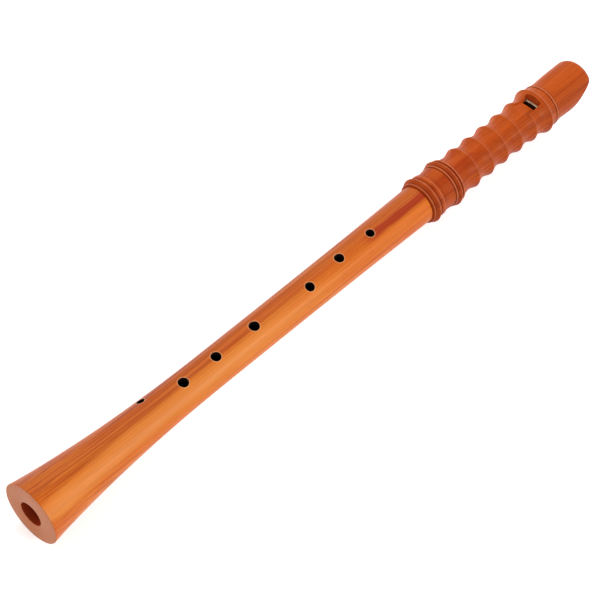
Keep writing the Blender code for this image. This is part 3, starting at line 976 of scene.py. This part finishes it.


# %% [markdown]
# On the body a pale band runs up from the foot. It is a painted highlight: the long shine of
# the key lamp, laid into the colour. A red vein of heartwood comes out under the head. Each is
# a long soft spot, laid where a plane through the bore meets the surface, and a slow swirl
# keeps it from being too straight.

# %% Streaks: a vein and a painted highlight
STREAK_SWIRL = 9 * MM


def streak_mask(tree, spot, centre_x, reach, roll, width):
    """A long streak of colour, seen where it comes to the surface at this roll."""
    swirl = calc(tree, "SUBTRACT", noise(tree, spot.place, (14, 90, 90), 3.0), 0.5)
    turn = math.radians(roll)
    sideways = times(tree, spot.y, math.cos(turn))
    upright = times(tree, calc(tree, "SUBTRACT", spot.z, BORE_Z), math.sin(turn))
    offset = calc(tree, "ADD", sideways, upright)
    offset = calc(tree, "ADD", offset, times(tree, swirl, STREAK_SWIRL))
    across = within(tree, calc(tree, "ABSOLUTE", offset), width * 0.4, width)
    from_centre = calc(tree, "ABSOLUTE", calc(tree, "SUBTRACT", spot.x, centre_x))
    return times(tree, across, within(tree, from_centre, reach * 0.5, reach))


def streaked(tree, base, spot, look):
    for *place, strength, tone in look["streaks"]:
        base = stain(tree, base, streak_mask(tree, spot, *place), strength, look[tone])
    return base


# %% [markdown]
# The rim of each hole is painted paler, partly as a painted highlight on its rounded edge and
# partly as wear from the fingers. The wall of a hole is painted nearly black, as painted shade.
# The rim could be painted on the mesh, but its place is known exactly, so a mask finds it: a
# thin tube round each hole's own line, which a Mapping node first turns upright.

# %% Marks of the holes: painted highlight, wear and painted shade
WALL_MARK = (0.05 * MM, 0.25 * MM)
RIM_MARK = (0.6 * MM, RIM_REACH)
RIM_SHEEN_AND_WEAR = 0.4


def hole_marks(tree, place, x, diameter, turn):
    """The wall of a hole, and a thin ring round it."""
    turn = math.radians(turn)
    upright = grow(tree, "ShaderNodeMapping", {
        "Vector": place,
        "Location": (-FOOT_X - x, -math.sin(turn) * BORE_Z, -math.cos(turn) * BORE_Z),
        "Rotation": (-turn, 0.0, 0.0),
    })
    along_bore, sideways, height = split(tree, upright.outputs[0])
    flat = grow(tree, "ShaderNodeCombineXYZ", {0: along_bore, 1: sideways})
    away = length(tree, flat.outputs[0])
    same_side = calc(tree, "GREATER_THAN", height, 0.0)
    for start, end in (WALL_MARK, RIM_MARK):
        tube = within(tree, away, diameter / 2 + start, diameter / 2 + end)
        yield times(tree, tube, same_side)


def marked_holes(tree, base, spot, look):
    """Paints highlight and wear on rims and shade in walls, and gives the mask of the walls."""
    walls = 0.0
    for hole in look["holes"]:
        wall, rim = hole_marks(tree, spot.place, *hole)
        # Painted highlight, with a little wear, on the rim of the hole.
        base = stain(tree, base, rim, RIM_SHEEN_AND_WEAR, look["worn"])
        walls = calc(tree, "MAXIMUM", walls, wall)
    # Painted shade: the walls of the holes are painted nearly black.
    return blend(tree, walls, base, look["bore"]), walls


# %% [markdown]
# The crests of the head's rings and ripples are painted paler, as painted highlights with a
# little wear, and the grooves beside the beads are painted dark, as painted shade. Both are
# thin lines round the piece at places that the profile already gives, so the same numbers that
# turned the head now mark it.

# %% Painted highlights on the crests and painted shade in the grooves
def lit_crests_and_shaded_grooves(tree, base, spot, look):
    """Lays on each set of lines, only where the surface stands out as far as it says."""
    for places, half_width, least_r, strength, tone in look["lines_round"]:
        lines = 0.0
        for x in places:
            away = calc(tree, "ABSOLUTE", calc(tree, "SUBTRACT", spot.x, x))
            line = within(tree, away, half_width / 3, half_width)
            lines = calc(tree, "MAXIMUM", lines, line)
        stands_out = calc(tree, "GREATER_THAN", spot.from_bore, least_r)
        base = stain(tree, base, times(tree, lines, stands_out), strength, look[tone])
    return base


# %% [markdown]
# Where the surface looks along the grain, as on the foot, the end grain has drunk more oil and
# is full of specks. The bore is painted nearly black, as painted shade, apart from its mouth,
# which the light reaches and which keeps a wood colour. The face's own direction finds the
# first, and the distance from the bore the second.

# %% End grain, and painted shade in the bore
MOUTH_DEPTH = 70 * MM
BORE_BLUR = 0.6 * MM
SPECK_STRENGTH = 0.4
END_FACE = (0.8, 0.95)


def end_grain(tree, base, spot, walls, look):
    end = times(tree, fade(tree, spot.facing, 0.25, 0.95), rest_of(tree, walls))
    base = stain(tree, base, end, look["end"], look["end_colour"])
    specks = fade(tree, noise(tree, spot.place, (800, 900, 900), 3.0, 0.6), 0.5, 0.66)
    specks = times(tree, specks, fade(tree, spot.facing, *END_FACE))
    return stain(tree, base, times(tree, specks, end), SPECK_STRENGTH, look["dark"])


def shaded_bore(tree, base, spot, look):
    # Painted shade: deep in the bore the colour turns nearly black.
    inside = within(tree, spot.from_bore, look["inside_r"] - BORE_BLUR, look["inside_r"])
    inside = times(tree, inside, within(tree, spot.facing, *END_FACE))
    deep_in = fade(tree, spot.x, look["mouth_x"], look["mouth_x"] + MOUTH_DEPTH)
    return blend(tree, inside, base, blend(tree, deep_in, look["mouth"], look["bore"]))


# %% [markdown]
# One recipe serves both woods, and a table of colours and strengths tells them apart. The
# fibres make the shine a little uneven, the walls of the holes are left rough, and the pores
# are sunk.

# %% Turned wood
def turned_wood(name, look):
    material, tree, shader = blank_material(name)
    spot = spot_in_tree(tree, look["heart_side"])
    base, fibre, pore = grain(tree, spot, look)
    base = streaked(tree, base, spot, look)
    base, walls = marked_holes(tree, base, spot, look)
    base = lit_crests_and_shaded_grooves(tree, base, spot, look)
    base = end_grain(tree, base, spot, walls, look)
    base = shaded_bore(tree, base, spot, look)
    tree.links.new(base, shader.inputs["Base Color"])
    rough = calc(tree, "MULTIPLY_ADD", fibre, 0.10, look["rough"])
    tree.links.new(calc(tree, "MAXIMUM", rough, walls), shader.inputs["Roughness"])
    shader.inputs["Specular IOR Level"].default_value = look["shine"]
    height = calc(tree, "SUBTRACT", times(tree, fibre, 0.25), pore)
    relief(tree, shader, height, 0.12, 0.3 * MM)
    return material


# %% [markdown]
# The body is the lighter wood, a warm orange. Its heart, and with it the painted shade, lies
# up and to the left of the picture. A streak is given by its middle, its reach, its roll, its
# width, its strength and its tone.

# %% Wood of the body
BODY_WOOD = {
    "light": colour(232, 130, 38),
    "deep": colour(222, 106, 18),
    "dark": colour(156, 56, 10),
    "heartwood": colour(156, 34, 10),
    # The pale colour of the painted highlight band.
    "painted_sheen": colour(242, 158, 74),
    "end_colour": colour(210, 122, 70),
    # Nearly black: the painted shade inside the bore and the finger holes.
    "bore": colour(20, 7, 5),
    # The bore's mouth, where the light reaches, keeps a wood colour.
    "mouth": colour(172, 62, 28),
    # Pale paint of the hole rims: a painted highlight with a little wear.
    "worn": colour(236, 180, 132),
    "mouth_x": FOOT_X + 10 * MM,
    "inside_r": 14.8 * MM,
    "heart_side": 1,
    "ring": 2.7 * MM,
    "drift": 2 * MM,
    # The strength of the painted shade on the side near the heart.
    "shade": 0.32,
    "line": 0.9,
    "stripe": 0.72,
    "fibre": 0.26,
    "pore": 0.45,
    "end": 0.9,
    "rough": 0.34,
    "shine": 0.2,
    "streaks": [
        # A painted highlight: the pale band of the key lamp's shine up the body.
        (FOOT_X + 90 * MM, 260 * MM, 38.0, 10.5 * MM, 0.42, "painted_sheen"),
        (FOOT_X + 402 * MM, 52 * MM, 11.0, 5.4 * MM, 0.8, "heartwood"),
    ],
    "holes": FINGER_HOLES,
    "lines_round": [],
}
dress(body, turned_wood("plum_wood", BODY_WOOD))

# %% [markdown]
# The head is from a redder and darker piece, with its heart, and so its painted shade, on the
# other side. Its crests carry painted highlights with a little wear, and its grooves painted
# shade. The ripples' lines stop at the ramp, which cuts below them.

# %% Wood of the head
RINGS = (LIP_BEAD, LOWER_RING, LOWER_BEAD, UPPER_LIP, UPPER_RING, UPPER_BEAD, BEAK_BEAD)
CRESTS = [x + width / 2 for x, width, _ in RINGS] + [FLANGE_X + FLANGE_LAND / 2]
RIPPLE_CRESTS = [GRIP_X + RIPPLE_PITCH * i for i in range(1, RIPPLES + 1)]
GROOVES = [x for x, _, _ in (LOWER_BEAD, UPPER_LIP, UPPER_RING, UPPER_BEAD, BEAK_BEAD)]
GROOVES += [x + width for x, width, _ in (LIP_BEAD, LOWER_BEAD, BEAK_BEAD)]
GROOVES += [GRIP_X - MM]


def on_head(places):
    return [HEAD_X + x for x in places]


HEAD_WOOD = {
    "light": colour(206, 94, 32),
    "deep": colour(188, 74, 18),
    "dark": colour(128, 40, 10),
    "heartwood": colour(150, 42, 12),
    "end_colour": colour(158, 58, 20),
    # Nearly black: the painted shade inside the bore and in the grooves.
    "bore": colour(40, 14, 9),
    # The bore's mouth, where the light reaches, keeps a wood colour.
    "mouth": colour(110, 44, 24),
    # Pale paint of the crests: a painted highlight with a little wear.
    "worn": colour(228, 150, 108),
    "mouth_x": HEAD_X,
    "inside_r": 13.1 * MM,
    "heart_side": -1,
    "ring": 3.1 * MM,
    "drift": 4 * MM,
    # The strength of the painted shade on the side near the heart.
    "shade": 0.22,
    "line": 0.6,
    "stripe": 0.5,
    "fibre": 0.3,
    "pore": 0.35,
    "end": 0.6,
    "rough": 0.36,
    "shine": 0.08,
    "streaks": [(HEAD_X + 20 * MM, 60 * MM, 14.0, 6.0 * MM, 0.5, "heartwood")],
    "holes": [],
    "lines_round": [
        # Painted highlights, with a little wear, on the crests of the rings and the flange.
        (on_head(CRESTS), 0.7 * MM, 0.0, 0.35, "worn"),
        # Painted highlights on the ripples' crests.
        (on_head(RIPPLE_CRESTS), 0.8 * MM, CREST_R - 0.6 * MM, 0.16, "worn"),
        # Painted shade in the grooves, in the dark colour of the bore.
        (on_head(GROOVES), 0.5 * MM, 0.0, 0.75, "bore"),
    ],
}
dress(head, turned_wood("red_wood", HEAD_WOOD))

# %% [markdown]
# Cedar is pale, raw and straight, with fine soft lines. The end of the block that looks into
# the window is painted nearly black, as painted shade, and its chamfer pale, as a painted
# highlight. Both are found by the way the face looks: straight to the foot, or halfway
# between that and up.

# %% Cedar
def cedar_wood():
    material, tree, shader = blank_material("cedar")
    place = coordinate(tree, "Object")
    lines = fade(tree, noise(tree, place, (12, 700, 700), 3.0, 0.6), 0.3, 0.7)
    broad = fade(tree, noise(tree, place, (30, 150, 150), 2.0), 0.3, 0.7)
    base = blend(tree, broad, colour(205, 150, 110), colour(188, 125, 88))
    base = stain(tree, base, lines, 0.45, colour(140, 82, 54))
    to_foot = times(tree, split(tree, coordinate(tree, "Normal"))[0], -1.0)
    # Painted highlight: the chamfer is painted pale.
    base = blend(tree, fade(tree, to_foot, 0.4, 0.6), base, colour(240, 212, 178))
    # Painted shade: the end that looks into the window is painted nearly black.
    base = blend(tree, fade(tree, to_foot, 0.85, 0.97), base, colour(62, 30, 20))
    tree.links.new(base, shader.inputs["Base Color"])
    shader.inputs["Roughness"].default_value = 0.7
    relief(tree, shader, lines, 0.2, 0.2 * MM)
    return material


dress(block, cedar_wood())

# %% [markdown]
# Cork is a mat of small cells with dark flecks and a dull surface. A Voronoi texture gives
# the cells, where plain noise would only give patches.

# %% Cork
def cork_bark():
    material, tree, shader = blank_material("cork")
    place = coordinate(tree, "Object")
    inputs = {"Vector": place, "Scale": 900.0}
    cells = grow(tree, "ShaderNodeTexVoronoi", inputs).outputs["Distance"]
    patches = fade(tree, noise(tree, place, (300, 300, 300), 3.0), 0.35, 0.65)
    flecks = noise(tree, place, (420, 900, 900), 3.0, 0.6, (0.2, 0.5, 0.1))
    flecks = fade(tree, flecks, 0.6, 0.68)
    base = blend(tree, patches, colour(206, 160, 112), colour(178, 128, 84))
    base = stain(tree, base, flecks, 0.8, colour(86, 52, 32))
    tree.links.new(base, shader.inputs["Base Color"])
    shader.inputs["Roughness"].default_value = 0.85
    relief(tree, shader, calc(tree, "SUBTRACT", cells, flecks), 0.35, 0.3 * MM)
    return material


dress(cork, cork_bark())

# %% [markdown]
# The recorder lies on a plain pale floor. More light would make the floor white, but it would
# bleach the wood too. So the floor glows a little, and only to the camera and in reflections.
# It comes out white and still shows the shadow.

# %% Floor
FLOOR_SIZE = 12.0
FLOOR_DROP = 0.2 * MM
FLOOR_GLOW = 0.55
WHITE = (1.0, 1.0, 1.0, 1.0)
PALE = (0.86, 0.86, 0.86, 1.0)


def seen_directly(tree):
    """1 for what the camera sees, plain, mirrored or through glass, and 0 for light."""
    ray = grow(tree, "ShaderNodeLightPath").outputs
    seen = calc(tree, "MAXIMUM", ray["Is Camera Ray"], ray["Is Glossy Ray"])
    return calc(tree, "MAXIMUM", seen, ray["Is Transmission Ray"])


def studio_white():
    material, tree, shader = blank_material("studio_white")
    shader.inputs["Base Color"].default_value = PALE
    shader.inputs["Roughness"].default_value = 0.9
    shader.inputs["Specular IOR Level"].default_value = 0.0
    shader.inputs["Emission Color"].default_value = WHITE
    glow = times(tree, seen_directly(tree), FLOOR_GLOW)
    tree.links.new(glow, shader.inputs["Emission Strength"])
    return material


bpy.ops.object.select_all(action="DESELECT")
floor_z = cad_low.z - FLOOR_DROP
bpy.ops.mesh.primitive_plane_add(size=FLOOR_SIZE, location=(0.0, 0.0, floor_z))
floor = bpy.context.object
floor.name = "floor"
dress(floor, studio_white())

# %% [markdown]
# Round it stands a white tent. It looks white to the camera and in reflections, at a strength
# of 1, and lights the wood at half of that, so that the lamps still shape it.

# %% Tent
TENT_LIGHT = 0.5

world = bpy.data.worlds.new("tent")
bpy.context.scene.world = world
world.use_nodes = True
background = world.node_tree.nodes["Background"]
background.inputs["Color"].default_value = WHITE
seen = seen_directly(world.node_tree)
tent = calc(world.node_tree, "MULTIPLY_ADD", seen, 1 - TENT_LIGHT, TENT_LIGHT)
world.node_tree.links.new(tent, background.inputs["Strength"])
print("tent as light:", TENT_LIGHT)

# %% [markdown]
# A large soft lamp by the player's side gives the round shapes their light and dark sides and
# the long shine on the body. A sun would do that too hard, so it is an area lamp. Two more
# lamps fill the other side and the foot, and the polish doesn't mirror them.

# %% Lamps
def soft_lamp(name, place, aim, size, power, mirrored=True):
    """A soft lamp. Unless it is mirrored, polished wood takes its light and no glare."""
    lamp = bpy.data.objects.new(name, bpy.data.lights.new(name, "AREA"))
    bpy.context.scene.collection.objects.link(lamp)
    lamp.data.shape = "RECTANGLE"
    lamp.data.size, lamp.data.size_y = size
    lamp.data.energy = power
    lamp.location = place
    direction = Vector(aim) - Vector(place)
    lamp.rotation_euler = direction.to_track_quat("-Z", "Y").to_euler()
    lamp.visible_glossy = mirrored
    print(f"{name}: {power} W at {direction.length:.2f} m")


soft_lamp("key_lamp", (0.50, -2.14, 1.25), (-0.3, 0.0, 0.0), (0.9, 0.9), 31.0)
soft_lamp("top_lamp", (0.3, 0.75, 1.0), (0.1, 0.0, 0.0), (1.2, 0.6), 7.5, mirrored=False)
foot = (FOOT_X, 0.0, 0.0)
soft_lamp("foot_lamp", (-1.0, 1.2, 0.40), foot, (0.4, 0.4), 3.0, mirrored=False)
